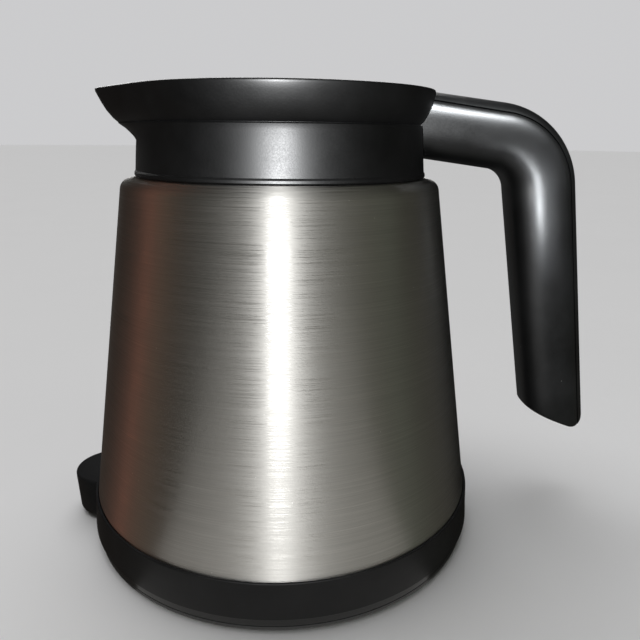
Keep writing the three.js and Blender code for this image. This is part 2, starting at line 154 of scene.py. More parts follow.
def turnPiece(name, corners, sides=128, steps=5):  # an outline turned about the Z axis
    points = filletOutline(corners, steps)
    onAxis = corners[0][0] == 0
    piece = drawOutline(name, points, closed=not onAxis)
    bpy.ops.mesh.select_all(action="SELECT")
    bpy.ops.mesh.spin(steps=sides, angle=tau, center=(0, 0, 0), axis=(0, 0, 1))
    bpy.ops.object.mode_set(mode="OBJECT")
    closeUp(piece)
    return piece


def wedgeCutter(innerR, outerR, low, high, azimuth, halfAngle):  # a window cutter, part of a ring
    clearSelection()
    middle = ((innerR + outerR) / 2 * mm, 0, (low + high) / 2 * mm)
    bpy.ops.mesh.primitive_plane_add(size=1, location=middle, rotation=(math.pi / 2, 0, 0))
    cutter = bpy.context.object
    cutter.scale = ((outerR - innerR) * mm, (high - low) * mm, 1)
    bpy.ops.object.transform_apply(location=True, rotation=True, scale=True)
    bpy.ops.object.mode_set(mode="EDIT")
    bpy.ops.mesh.select_all(action="SELECT")
    bpy.ops.mesh.spin(steps=20, angle=2 * halfAngle, center=(0, 0, 0), axis=(0, 0, 1))
    bpy.ops.object.mode_set(mode="OBJECT")
    closeUp(cutter)
    sweep = sum((v.co for v in cutter.data.vertices), Vector()) / len(cutter.data.vertices)
    turn = azimuth - math.atan2(sweep.y, sweep.x)
    cutter.data.transform(Matrix.Rotation(turn, 4, "Z"))
    return cutter


def combine(piece, other, operation):  # DIFFERENCE cuts, UNION joins
    applyModifier(piece, "BOOLEAN", operation=operation, object=other, solver="EXACT")
    bpy.data.objects.remove(other)
    return piece


def carveWindow(piece, *sizes):
    return combine(piece, wedgeCutter(*sizes), "DIFFERENCE")


steelPieces, blackPieces, basePieces, handlePieces = [], [], [], []  # each lamp lights one of these groups


def finishPiece(piece, body, node, material, angle=34):
    smoothPiece(piece, angle)
    if "Steel" in material.name:  # every steel's name holds this word
        steelPieces.append(piece)
    elif material in (baseBlack, footBlack):
        basePieces.append(piece)
    else:
        blackPieces.append(piece)
    piece.data.materials.clear()
    piece.data.materials.append(material)
    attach(piece, body)
    if node:
        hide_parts(node)
    print("made", piece.name, len(piece.data.polygons), "faces")
    return piece


class Finish:  # one material, whose nodes are added in reading order
    def __init__(self, name):
        self.material = bpy.data.materials.new(name)
        self.material.use_nodes = True
        self.tree = self.material.node_tree
        self.shader = self.tree.nodes["Principled BSDF"]
        self.place = self.tree.nodes.new("ShaderNodeTexCoord").outputs["Object"]

    def add(self, kind, **settings):
        node = self.tree.nodes.new("ShaderNode" + kind)
        for key, value in settings.items():
            setattr(node, key, value)
        return node

    def link(self, output, socket):
        self.tree.links.new(output, socket)

    def fix(self, **values):  # numbers and colours that are the same all over
        for key, value in values.items():
            self.shader.inputs[key.replace("_", " ")].default_value = value

    def stretch(self, x, y, z):
        node = self.add("Mapping")
        node.inputs["Scale"].default_value = (x, y, z)
        self.link(self.place, node.inputs["Vector"])
        return node.outputs["Vector"]

    def noise(self, where, scale, detail=3.0, roughness=0.55):
        node = self.add("TexNoise")
        node.inputs["Scale"].default_value = scale
        node.inputs["Detail"].default_value = detail
        node.inputs["Roughness"].default_value = roughness
        self.link(where, node.inputs["Vector"])
        return node.outputs["Fac"]

    def spots(self, where, scale, size):  # 1 inside a few small round specks
        node = self.add("TexVoronoi")
        node.inputs["Scale"].default_value = scale
        self.link(where, node.inputs["Vector"])
        near = self.remap(node.outputs["Distance"], size, size * 0.5, 0, 1)
        chance = self.add("SeparateColor")
        self.link(node.outputs["Color"], chance.inputs["Color"])
        few = self.math("GREATER_THAN", chance.outputs["Red"], 0.82)
        return self.math("MULTIPLY", near, few)

    def math(self, operation, a, b):
        node = self.add("Math", operation=operation)
        for socket, value in zip(node.inputs, (a, b)):
            if isinstance(value, (int, float)):
                socket.default_value = value
            else:
                self.link(value, socket)
        return node.outputs["Value"]

    def remap(self, value, low, high, toLow, toHigh):
        node = self.add("MapRange")
        for key, number in zip(("From Min", "From Max", "To Min", "To Max"), (low, high, toLow, toHigh)):
            node.inputs[key].default_value = number
        self.link(value, node.inputs["Value"])
        return node.outputs["Result"]

    def blend(self, share, first, second):
        node = self.add("Mix", data_type="RGBA")
        self.link(share, node.inputs["Factor"])
        for socket, colour in ((node.inputs["A"], first), (node.inputs["B"], second)):
            if isinstance(colour, tuple):
                socket.default_value = (*colour, 1)
            else:
                self.link(colour, socket)
        return node.outputs["Result"]

    def bump(self, height, distance, strength):
        node = self.add("Bump")
        node.inputs["Strength"].default_value = strength
        node.inputs["Distance"].default_value = distance
        self.link(height, node.inputs["Height"])
        return node.outputs["Normal"]


def brushedSteel(name, colour, grain, roughness, anisotropic):
    look = Finish(name)
    look.fix(Metallic=1.0, Anisotropic_Rotation=0.25)  # glints stretch across the lines
    fine = look.noise(look.stretch(26, 26, 9000), grain, 4, 0.7)  # hair lines that run round the body
    coarse = look.noise(look.stretch(18, 18, 2600), grain, 3, 0.6)
    cloud = look.noise(look.stretch(1, 1, 1), 34, 3, 0.6)  # handling marks
    lines = look.math("ADD", look.math("MULTIPLY", fine, 0.6), look.math("MULTIPLY", coarse, 0.4))
    dark = tuple(channel * 0.78 for channel in colour)
    tone = look.blend(look.remap(lines, 0.36, 0.66, 0, 1), dark, colour)
    specks = look.spots(look.stretch(1, 1, 1), 380, 0.075)
    look.link(look.blend(specks, tone, (0.86, 0.85, 0.82)), look.shader.inputs["Base Color"])
    gloss = look.math("ADD", look.remap(lines, 0.3, 0.7, roughness - 0.05, roughness + 0.06),
                      look.remap(cloud, 0.3, 0.7, -0.02, 0.035))
    polishLow, polishHigh = 0.53, 0.6  # hair lines above this shine more and narrow the glints
    shiny = look.remap(fine, polishLow, polishHigh, 1, 0.62)
    look.link(look.math("MULTIPLY", gloss, shiny), look.shader.inputs["Roughness"])
    grooved = look.remap(fine, polishLow, polishHigh, anisotropic, min(1.0, anisotropic * 1.16))
    look.link(grooved, look.shader.inputs["Anisotropic"])
    look.link(look.bump(lines, 0.00003, 0.35), look.shader.inputs["Normal"])
    tangent = look.add("Tangent", direction_type="RADIAL", axis="Z")
    look.link(tangent.outputs["Tangent"], look.shader.inputs["Tangent"])
    return look.material


def satinPlastic(name, colour, roughness, gloss=0.24):
    look = Finish(name)
    look.fix(IOR=1.49, Specular_IOR_Level=gloss)
    skin = look.noise(look.stretch(1, 1, 1), 2400, 2, 0.6)  # spark-eroded mould grain
    patches = look.noise(look.stretch(1, 1, 1), 42, 3, 0.6)
    pale = tuple(channel * 1.7 + 0.003 for channel in colour)
    tone = look.blend(look.remap(patches, 0.35, 0.75, 0, 1), colour, pale)
    dust = look.spots(look.stretch(1, 1, 1), 210, 0.05)
    look.link(look.blend(dust, tone, (0.2, 0.2, 0.19)), look.shader.inputs["Base Color"])
    rough = look.math("ADD", look.remap(patches, 0.3, 0.7, roughness - 0.035, roughness + 0.04),
                      look.remap(skin, 0.3, 0.7, -0.03, 0.03))
    look.link(rough, look.shader.inputs["Roughness"])
    look.link(look.bump(skin, 0.00002, 0.5), look.shader.inputs["Normal"])
    return look.material


def softRubber(name, colour, roughness=0.7):
    look = Finish(name)
    look.fix(IOR=1.5)
    skin = look.noise(look.stretch(1, 1, 1), 1500, 3, 0.65)
    dusty = look.noise(look.stretch(1, 1, 1), 60, 4, 0.6)
    pale = tuple(channel * 1.5 + 0.01 for channel in colour)
    look.link(look.blend(look.remap(dusty, 0.4, 0.75, 0, 1), colour, pale), look.shader.inputs["Base Color"])
    look.link(look.remap(skin, 0.3, 0.7, roughness - 0.08, roughness + 0.08), look.shader.inputs["Roughness"])
    look.link(look.bump(skin, 0.00004, 0.5), look.shader.inputs["Normal"])
    return look.material


shellSteel = brushedSteel("brushedShellSteel", (0.60, 0.585, 0.555), 1.0, 0.60, 0.86)
flaskSteel = brushedSteel("spunFlaskSteel", (0.66, 0.65, 0.63), 0.6, 0.24, 0.4)
plainSteel = brushedSteel("zincPlatedSteel", (0.52, 0.52, 0.53), 1.4, 0.38, 0.2)
collarBlack = satinPlastic("satinCollarBlack", (0.0022, 0.0023, 0.0028), 0.43, 0.16)
handleBlack = satinPlastic("satinHandleBlack", (0.0022, 0.0023, 0.0028), 0.36, 0.2)
baseBlack = satinPlastic("matteBaseBlack", (0.009, 0.009, 0.0095), 0.5, 0.13)
lidBlack = satinPlastic("lidPlastic", (0.013, 0.013, 0.014), 0.42)
footBlack = softRubber("footRubber", (0.006, 0.006, 0.006))
ringSilicone = softRubber("ringSilicone", (0.27, 0.275, 0.28), 0.5)


shellSet = {
    "ringTop": 17.0,  # where the wall comes out of the base ring
    "footR": 70.0,
    "taper": 0.149,
    "shoulderRound": 5.0,
    "neckR": 38.6,
    "neckSeatR": 49.0,  # flat ledge that the collar stands on
    "stepIn": 0.6,  # the wall below the base ring's edge
    "sheet": 0.8,
}


def wallR(height):
    return shellSet["footR"] - shellSet["taper"] * (height - shellSet["ringTop"])


def buildShell():
    low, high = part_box("outer_shell")
    foot, top = low.z / mm, high.z / mm
    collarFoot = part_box("pour_collar")[0].z / mm
    thick = shellSet["sheet"]
    topR = wallR(collarFoot - 1.2)
    stepped = shellSet["footR"] - shellSet["stepIn"]
    corners = [
        (stepped, foot, 0),
        (stepped, shellSet["ringTop"] - 0.8, 0.4),
        (wallR(shellSet["ringTop"]), shellSet["ringTop"] + 0.1, 0.4),
        (topR + 0.35, collarFoot - 1.6, shellSet["shoulderRound"]),
        (shellSet["neckSeatR"], collarFoot - 0.6, 0.6),
        (shellSet["neckR"] + 2, collarFoot, 1.5),
        (shellSet["neckR"], collarFoot + 2, 1.5),
        (shellSet["neckR"], top, 0),
        (shellSet["neckR"] - thick, top, 0),
        (shellSet["neckR"] - thick, collarFoot + 1.6, 1),
        (shellSet["neckR"] + 1.6, collarFoot - thick, 1),
        (shellSet["neckSeatR"], collarFoot - 0.6 - thick, 0),
        (topR + 0.35 - thick, collarFoot - 1.6 - thick, shellSet["shoulderRound"] - thick),
        (wallR(shellSet["ringTop"]) - thick, shellSet["ringTop"] + 0.4, 0),
        (stepped - thick, shellSet["ringTop"] - 0.9, 0),
        (stepped - thick, foot, 0),
    ]
    piece = turnPiece("steelShell", corners, 192, 10)
    return finishPiece(piece, "jug", "outer_shell", shellSteel)


flaskSet = {
    "inset": 5.2,  # from the outer wall
    "lowZ": 21.6,  # top of the rounded floor corner
    "highZ": 119.2,  # start of the flask's own shoulder
    "shoulderZ": 125,
    "shoulderRound": 6,
    "floorRound": 10,
    "neckZ": 127.5,
    "boreR": 36.7,
    "mouthR": 39.4,
}


def buildFlask():
    low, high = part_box("inner_flask")
    floor, mouth = low.z / mm, high.z / mm
    wide = wallR(flaskSet["lowZ"]) - flaskSet["inset"]
    narrow = wallR(flaskSet["highZ"]) - flaskSet["inset"]
    thick = shellSet["sheet"]
    bore, mouthR = flaskSet["boreR"], flaskSet["mouthR"]
    shoulderZ, neckZ = flaskSet["shoulderZ"], flaskSet["neckZ"]
    shoulderRound, floorRound = flaskSet["shoulderRound"], flaskSet["floorRound"]
    corners = [
        (0, floor, 0),
        (wide + 1, floor, floorRound),
        (narrow - 0.4, shoulderZ, shoulderRound),
        (bore + thick, neckZ, 2.4),
        (bore + thick, mouth - thick, 0.3),
        (mouthR, mouth - thick, 0),
        (mouthR, mouth, 0.3),
        (bore, mouth, 1.2),
        (bore, neckZ - thick, 2),
        (narrow - 0.4 - thick, shoulderZ - thick, shoulderRound - thick),
        (wide + 1 - thick, floor + thick, floorRound - thick),
        (0, floor + thick, 0),
    ]
    piece = turnPiece("flaskLiner", corners, 128, 8)
    return finishPiece(piece, "jug", "inner_flask", flaskSteel)


baseSet = {
    "widest": 71.8,
    "breakZ": 4.6,  # soft break low on the ring
    "bandTop": 10.6,  # the side leans in above this
    "holeR": 9.0,
    "floorTop": 4.6,
    "ledge": 5.7,  # the shell's lower edge stands just above this
    "ledgeWidth": 9,
    "lugR": 12.5,
    "lugTopRound": 0.9,
}


def buildBase():
    low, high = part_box("base_cup")
    foot, top = low.z / mm, high.z / mm
    bore = shellSet["footR"] - 0.3
    corners = [
        (baseSet["holeR"], foot, 0),
        (baseSet["widest"] - 1.1, foot, 0.4),
        (baseSet["widest"] - 0.5, baseSet["breakZ"] - 0.2, 0.1),
        (baseSet["widest"], baseSet["breakZ"] + 0.2, 0.3),
        (baseSet["widest"] - 0.4, baseSet["bandTop"], 6),
        (shellSet["footR"] + 1.1, top, 0.6),
        (shellSet["footR"] + 0.3, top, 0.15),
        (bore, top - 0.9, 0),
        (bore, baseSet["ledge"], 0),
        (bore - baseSet["ledgeWidth"], baseSet["ledge"], 0),
        (bore - baseSet["ledgeWidth"] - 3, baseSet["floorTop"], 0),
        (baseSet["holeR"], baseSet["floorTop"], 0),
    ]
    ring = turnPiece("baseRing", corners, 192, 5)
    lug = turnPiece("dockingLug", [
        (0, foot, 0),
        (baseSet["lugR"] - 1.1, foot, 0.5),
        (baseSet["lugR"] - 0.6, 2.8, 0),
        (baseSet["lugR"], top - 2.2, 3),
        (baseSet["lugR"], top, baseSet["lugTopRound"]),
        (0, top, 0),
    ], 72, 4)
    lugX = low.x + baseSet["lugR"] * mm
    lug.data.transform(Matrix.Translation((lugX, 0, 0)))
    hollow = turnPiece("ringHollow", [
        (0, foot - 1, 0), (bore + 0.6, foot - 1, 0), (bore + 0.6, top + 1, 0), (0, top + 1, 0),
    ], 192, 1)
    combine(lug, hollow, "DIFFERENCE")
    combine(ring, lug, "UNION")
    return finishPiece(ring, "jug", "base_cup", baseBlack)


footSet = {
    "recess": 0.35,  # middle of the pad, above the table
    "rimWidth": 13.4,
}


def buildFoot():
    _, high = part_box("foot_pad")
    edge, top = high.x / mm, high.z / mm
    recess, rim = footSet["recess"], edge - footSet["rimWidth"]
    corners = [
        (0, recess, 0),
        (rim - 0.6, recess, 0),
        (rim, 0, 0.2),
        (edge, 0, 0.5),
        (edge, top, 0),
        (0, top, 0),
    ]
    piece = turnPiece("footPad", corners, 128, 4)
    return finishPiece(piece, "jug", "foot_pad", footBlack)


collarSet = {
    "outside": [  # radius, height, fillet, how far the spout stands out beyond the radius
        (49.0, 129.1, 0, 0),
        (49.3, 129.5, 0.25, 0),
        (49.2, 130.3, 0.3, 0),
        (48.85, 130.9, 0.2, 0),
        (48.5, 135.2, 0, 0),
        (48.0, 140.2, 0, 0),
        (47.75, 143.8, 0, 5.0),
        (47.5, 145.5, 0.25, 7.9),
        (46.75, 145.75, 0.1, 8.65),
        (47.1, 146.1, 0, 8.8),
        (48.0, 147.0, 0, 8.95),
        (49.4, 149.4, 0, 9.6),
        (50.3, 151.7, 0, 10.1),
        (50.9, 153.8, 0, 10.6),
        (51.3, 155.4, 0, 11.0),
    ],
    "inside": [
        (51.4, 156.5, 0.5, 11.0),
        (49.9, 156.5, 0.5, 10.0),
        (49.3, 153.4, 1.0, 9.4),
        (47.6, 151.0, 1.0, 8.0),
        (44.6, 150.1, 1.0, 4.4),
        (40.6, 149.3, 0.4, 0),
        (40.6, 135.4, 0, 0),
        (42.6, 135.4, 0, 0),
        (42.6, 146.6, 0, 0),
        (44.8, 146.6, 0, 0),
        (45.9, 140.2, 0, 0),
        (46.8, 130.5, 0, 0),
        (46.8, 129.1, 0, 0),
    ],
    "tipRound": 0.055,  # softens the spout's point, in radians
    "spoutBlend": 0.10,  # softens the crease where the spout leaves the round lip
}


def spoutRadius(r, extra, angle):  # radius of a level at an angle, its -X side drawn out to a soft point
    if extra < 0.01:
        return r
    reach = r + extra
    tangent = math.acos(r / reach)
    away = abs(math.atan2(math.sin(angle - math.pi), math.cos(angle - math.pi)))
    away = math.hypot(away, collarSet["tipRound"]) - collarSet["tipRound"] / 2
    soft = collarSet["spoutBlend"]
    inside = tangent - away
    smooth = (inside + math.hypot(inside, soft)) / 2 - soft * soft / 4 / max(tangent, soft)
    return r / math.cos(max(0, smooth))


def buildCollar():
    levels = collarSet["outside"] + collarSet["inside"]
    corners = [level[:3] for level in levels]
    piece = turnPiece("pouringCollar", corners, 240, 4)
    count = len(levels)
    for v in piece.data.vertices:
        r = math.hypot(v.co.x, v.co.y)
        here = Vector((r / mm, v.co.z / mm))
        best, extra = 1e9, 0
        for i in range(count):  # the nearest stretch of the outline sets how far this point is drawn out
            a, b = levels[i], levels[(i + 1) % count]
            start, run = Vector(a[:2]), Vector(b[:2]) - Vector(a[:2])
            t = min(1, max(0, (here - start).dot(run) / run.length_squared))
            away = (here - start - run * t).length
            if away < best:
                best, extra = away, a[3] + (b[3] - a[3]) * t
        angle = math.atan2(v.co.y, v.co.x)
        stretch = spoutRadius(here.x, extra, angle) / here.x
        v.co.x *= stretch
        v.co.y *= stretch
    return finishPiece(piece, "jug", "pour_collar", collarBlack, 40)


handleSet = {
    "armStart": Vector((45.5, 146.4)),
    "elbow": Vector((89.1, 140.8)),
    "gripEnd": Vector((106.5, 36.6)),
    "elbowRound": 20.0,
    "rootDepth": 11.0,  # half depth in the handle's own plane
    "gripDepth": 12.0,
    "endDepth": 11.2,
    "halfWidth": 11.5,
    "squareness": 2.6,
    "spineDepthRoot": 3.2,
    "spineDepthGrip": 4.0,
    "seamGap": 0.22,
    "endSlant": 0.6,
    "endRound": 5.4,
    "endEdge": 1.3,  # rounding of the lower end's edge
    "sectionPoints": 26,  # points from the seam round to the middle of the inner face
    "armSteps": 4,
    "bendSteps": 22,
    "straightSteps": 10,
    "straightShare": 0.86,  # of the straight grip; its end is shaped after that
}


def handleStations():
    h = handleSet
    armAlong = (h["elbow"] - h["armStart"]).normalized()
    gripAlong = (h["gripEnd"] - h["elbow"]).normalized()
    turn = armAlong.angle(gripAlong)
    setback = h["elbowRound"] * math.tan(turn / 2)
    bendStart = h["elbow"] - armAlong * setback
    bendEnd = h["elbow"] + gripAlong * setback
    centre = bendStart + Vector((armAlong.y, -armAlong.x)) * h["elbowRound"]
    stations = []
    for i in range(h["armSteps"]):
        t = i / h["armSteps"]
        stations.append((h["armStart"].lerp(bendStart, t), armAlong, h["rootDepth"] + 0.2 * t, t * 0.5))
    for i in range(h["bendSteps"] + 1):
        t = i / h["bendSteps"]
        spun = Matrix.Rotation(-turn * t, 2)
        at = centre + spun @ (bendStart - centre)
        along = spun @ armAlong
        depth = h["rootDepth"] + 0.2 + (h["gripDepth"] - h["rootDepth"] - 0.2) * t
        stations.append((at, along, depth, 0.5 + 0.5 * t))
    for i in range(1, h["straightSteps"] + 1):
        t = i / h["straightSteps"] * h["straightShare"]
        depth = h["gripDepth"] + (h["endDepth"] - h["gripDepth"]) * t
        stations.append((bendEnd.lerp(h["gripEnd"], t), gripAlong, depth, 1))
    return stations


def halfWidthAt(depth, out, shrink=0.0):
    h = handleSet
    share = min(1, abs(out / (depth - shrink)))
    return (h["halfWidth"] - shrink) * (1 - share ** h["squareness"]) ** (1 / h["squareness"])


def seamOut(depth, share):
    h = handleSet
    return depth - (h["spineDepthRoot"] + (h["spineDepthGrip"] - h["spineDepthRoot"]) * share)


def gripSection(depth, share, shrink):  # below the seam, as [out, side]
    h = handleSet
    seam = seamOut(depth, share) - h["seamGap"] / 2 - shrink * 0.3
    low = -depth + shrink
    points = []
    for i in range(h["sectionPoints"] + 1):
        angle = math.pi / 2 * i / h["sectionPoints"]
        out = seam - (seam - low) * math.sin(angle)
        points.append((out, halfWidthAt(depth, out, shrink)))
    edge = points[0][1]
    points[0:1] = [(seam - 0.05, edge - 0.6), (seam, edge - 0.3), (seam - 0.12, edge - 0.08)]
    points.insert(0, (seam - 0.9, edge - 1.6))
    points.insert(0, (seam - 0.9, (edge - 1.6) * 0.5))
    other = [(out, -side) for out, side in reversed(points[:-1])]
    return points + other


def spineSection(depth, share, shrink):
    h = handleSet
    seam = seamOut(depth, share) + h["seamGap"] / 2
    top = depth - shrink
    seam = min(seam, top - 0.3)
    points = []
    for i in range(h["sectionPoints"] + 1):
        angle = math.pi / 2 * i / h["sectionPoints"]
        out = seam + (top - seam) * math.sin(angle)
        points.append((out, halfWidthAt(depth, out, shrink)))
    edge = points[0][1]
    points[0:1] = [(seam + 0.05, edge - 0.6), (seam, edge - 0.3), (seam + 0.12, edge - 0.08)]
    points.insert(0, (seam - 0.7, edge - 1.75))
    points.insert(0, (seam - 0.7, (edge - 1.75) * 0.5))
    other = [(out, -side) for out, side in reversed(points[:-1])]
    return points + other


def endLine(out):  # how far the slanted lower end runs on along the handle, with its outer corner rounded
    h = handleSet
    depth, slant, radius = h["endDepth"], h["endSlant"], h["endRound"]
    lean = math.atan(slant)
    arcStart = depth - radius - radius * math.sin(lean)
    if out < arcStart:
        return slant * out
    middle = slant * arcStart - radius * math.cos(lean)
    return middle + math.sqrt(max(0, radius ** 2 - (out - depth + radius) ** 2))


def sweepHandle(name, section):
    h = handleSet
    stations = handleStations()
    count = len(section(h["rootDepth"], 0, 0))
    clearSelection()
    bpy.ops.mesh.primitive_circle_add(vertices=count, radius=0.01, fill_type="NOTHING")
    piece = nameNewPiece(name)
    bpy.ops.object.mode_set(mode="EDIT")
    mesh = bmesh.from_edit_mesh(piece.data)
    corner = mesh.verts.layers.int.new("corner")
    mesh.verts.ensure_lookup_table()
    for i, v in enumerate(mesh.verts):
        v[corner] = i

    def place(at, along, depth, share, shrink=0.0, atEnd=None):
        bm = bmesh.from_edit_mesh(piece.data)
        layer = bm.verts.layers.int["corner"]
        outward = Vector((-along.y, along.x))
        shape = section(depth, share, shrink)
        for vert in bm.verts:
            if vert.select:
                out, side = shape[vert[layer]]
                run = 0 if atEnd is None else endLine(out) - atEnd
                p = at + outward * out + along * run
                vert.co = Vector((p.x, side, p.y)) * mm
        bmesh.update_edit_mesh(piece.data)

    bpy.ops.mesh.select_all(action="SELECT")
    place(*stations[0])
    for station in stations[1:]:
        bpy.ops.mesh.extrude_region_move()
        place(*station)
    gripAlong = stations[-1][1]
    edgeSteps = 5
    for i in range(edgeSteps + 1):  # the lower end's edge rolls over
        angle = math.pi / 2 * i / edgeSteps
        shrink = h["endEdge"] * (1 - math.cos(angle))
        back = h["endEdge"] * (1 - math.sin(angle))
        bpy.ops.mesh.extrude_region_move()
        place(h["gripEnd"], gripAlong, h["endDepth"], 1, shrink, back)
    bpy.ops.mesh.edge_face_add()
    bpy.ops.mesh.select_all(action="DESELECT")
    bpy.ops.mesh.select_non_manifold()
    bpy.ops.mesh.edge_face_add()
    bpy.ops.object.mode_set(mode="OBJECT")
    closeUp(piece)
    return piece


def collarCutter():  # what the collar takes out of the handle's root
    gap, below, above = 0.18, 128, 164
    outside = [(r + gap, z, 0) for r, z, _, _ in collarSet["outside"]]
    corners = [(0, below, 0), (outside[0][0], below, 0), *outside[1:], (51.6, above, 0), (0, above, 0)]
    return turnPiece("collarSpace", corners, 240, 1)


def buildHandle():
    grip = sweepHandle("handleGrip", gripSection)
    combine(grip, collarCutter(), "DIFFERENCE")
    handlePieces.append(finishPiece(grip, "jug", "handle_grip", handleBlack, 40))
    spine = sweepHandle("handleSpine", spineSection)
    combine(spine, collarCutter(), "DIFFERENCE")
    handlePieces.append(finishPiece(spine, "jug", "handle_spine", handleBlack, 40))


lidSet = {
    "stopperR": 34.0,
    "seatZ": 149.3,  # underside of the stopper's flange
    "tubeR": 8.5,
    "tubeBore": 6.6,
    "wall": 1.8,
    "flangeR": 40.0,
    "portR": (16, 29),
    "portHalf": math.radians(26),
    "pourTurn": math.radians(75),
}


def buildStopper():
    low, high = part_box("lid_stopper")
    foot, top = low.z / mm, high.z / mm
    outer, wall = lidSet["stopperR"], lidSet["wall"]
    bore = lidSet["tubeR"] + 0.5
    corners = [
        (bore, foot, 0.2),
        (outer, foot, 1.4),
        (outer, lidSet["seatZ"], 0.5),
        (lidSet["flangeR"], lidSet["seatZ"], 0.4),
        (lidSet["flangeR"], top, 0.5),
        (outer - wall, top, 0.4),
        (outer - wall, foot + wall, 0.8),
        (bore, foot + wall, 0.2),
    ]
    piece = turnPiece("stopperCup", corners, 128, 3)
    carveWindow(piece, *lidSet["portR"], foot - 1, foot + wall + 1, math.pi, lidSet["portHalf"])
    return finishPiece(piece, "lid", "lid_stopper", lidBlack)


def buildSealRing():
    low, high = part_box("lid_gasket")
    foot, outer = low.z / mm, high.x / mm
    inner = lidSet["stopperR"] + 0.3
    corners = [
        (inner, foot, 0),
        (outer - 0.6, foot, 0.3),
        (outer, foot + 1.0, 0.5),
        (outer - 0.9, foot + 2.4, 0.4),
        (outer, foot + 3.8, 0.5),
        (outer - 0.6, foot + 4.8, 0.3),
        (inner, foot + 4.8, 0),
    ]
    piece = turnPiece("sealRing", corners, 128, 5)
    return finishPiece(piece, "lid", "lid_gasket", ringSilicone)


valveSet = {
    "cageR": 14.2,
    "cageWall": 1.6,
    "cageFloor": 1.4,
    "drainR": 3,  # hole in the cage's floor
    "windowHalf": 0.55,  # radians
    "plugR": 6.6,
    "rimR": 9.4,
    "rimHeight": 1.1,
}


def buildValve():
    low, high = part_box("valve_cage")
    foot, top, outer = low.z / mm, high.z / mm, valveSet["cageR"]
    inner, floor, drain = outer - valveSet["cageWall"], foot + valveSet["cageFloor"], valveSet["drainR"]
    cage = turnPiece("valveCage", [
        (drain, foot, 0.3), (outer, foot, 1.2), (outer, top, 0.2),
        (inner, top, 0.2), (inner, floor, 0.6), (drain, floor, 0.3),
    ], 72, 3)
    for i in range(4):
        azimuth = math.pi / 4 + i * math.pi / 2
        carveWindow(cage, outer - 3, outer + 1, floor + 0.4, top - 2, azimuth, valveSet["windowHalf"])
    finishPiece(cage, "lid", "valve_cage", lidBlack)
    low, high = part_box("valve_float")
    foot, top = low.z / mm, high.z / mm
    plugR, rimR, rimFoot = valveSet["plugR"], valveSet["rimR"], top - valveSet["rimHeight"]
    plug = turnPiece("valveFloat", [
        (0, foot, 0), (plugR, foot, 1.2), (plugR, rimFoot, 0.3),
        (rimR, rimFoot, 0.4), (rimR, top, 0.5), (0, top, 0),
    ], 72, 4)
    finishPiece(plug, "float", "valve_float", ringSilicone)


dialSet = {
    "rimHeight": 4.3,
    "dishInnerR": 13,
    "dishOuterR": 28,
    "dishLipR": 31.6,
    "notchR": 31,  # the pouring notch starts here and runs out through the rim
    "ribInnerR": 12.0,
    "ribRiseR": 18,  # full height from here outwards
    "ribWidth": 4.4,
}


def buildWing(foot, top, edge):  # an upright rib for the fingers
    clearSelection()
    inner, outer, width = dialSet["ribInnerR"], edge - 1.6, dialSet["ribWidth"]
    rise, dish, lip = dialSet["ribRiseR"], dialSet["dishOuterR"], dialSet["dishLipR"]
    bpy.ops.mesh.primitive_cube_add(size=1, location=((inner + outer) / 2 * mm, 0, (foot + top) / 2 * mm))
    wing = bpy.context.object
    wing.scale = ((outer - inner) * mm, width * mm, (top - foot) * mm)
    bpy.ops.object.transform_apply(location=True, rotation=True, scale=True)
    bpy.ops.object.mode_set(mode="EDIT")
    for cutX in (rise, dish, lip):
        bpy.ops.mesh.select_all(action="SELECT")
        bpy.ops.mesh.bisect(plane_co=(cutX * mm, 0, 0), plane_no=(1, 0, 0))
    bpy.ops.object.mode_set(mode="OBJECT")
    middle = (foot + top) / 2 * mm
    places = (inner, rise, dish, lip, outer)
    lowLine = list(zip(places, (foot - 4, foot - 3.4, foot - 2, foot + 0.4, foot + 0.6)))
    highLine = list(zip(places, (top - 3, top - 0.4, top - 0.4, top - 0.4, top - 0.4)))
    for v in wing.data.vertices:
        line = lowLine if v.co.z < middle else highLine
        v.co.z = min(line, key=lambda point: abs(point[0] - v.co.x / mm))[1] * mm
    softenEdges(wing, 0.7 * mm, 4, 20)
    return wing


def buildDial():
    low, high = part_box("lid_dial")
    top, edge = high.z / mm, high.x / mm
    foot, tubeFoot = top - dialSet["rimHeight"], low.z / mm
    tube, bore = lidSet["tubeR"], lidSet["tubeBore"]
    dishIn, dishOut, lip = dialSet["dishInnerR"], dialSet["dishOuterR"], dialSet["dishLipR"]
    corners = [
        (bore, tubeFoot, 0.3),
        (tube, tubeFoot, 0.3),
        (tube, foot - 6.4, 1),
        (dishIn, foot - 4.4, 1),
        (dishOut, foot - 2.7, 1),
        (lip, foot, 1),
        (edge, foot, 0.9),
        (edge, top, 1.0),
        (edge - 2.4, top, 0.7),
        (edge - 3.6, top - 2.0, 1.2),
        (33, top - 2.8, 2.5),
        (dishOut, foot - 0.7, 4),
        (dishIn, foot - 2.4, 4),
        (bore, foot - 5.2, 1.6),
    ]
    dial = turnPiece("pouringDial", corners, 144, 5)
    for turn in (0, math.pi):
        wing = buildWing(foot, top, edge)
        wing.data.transform(Matrix.Rotation(turn, 4, "Z"))
        combine(dial, wing, "UNION")
    opening = lidSet["portHalf"] - 0.06
    azimuth = math.pi - lidSet["pourTurn"]
    carveWindow(dial, dialSet["notchR"], edge + 2, foot - 1, top + 1, azimuth, opening)
    softenEdges(dial, 0.25 * mm, 2, 50)
    return finishPiece(dial, "dial", "lid_dial", lidBlack, 30)


shutterSet = {
    "plate": 1.4,
    "hubHeight": 4,
    "hubFootR": 11.5,
    "hubTopR": 10.9,
    "portR": (16.5, 28.5),
}


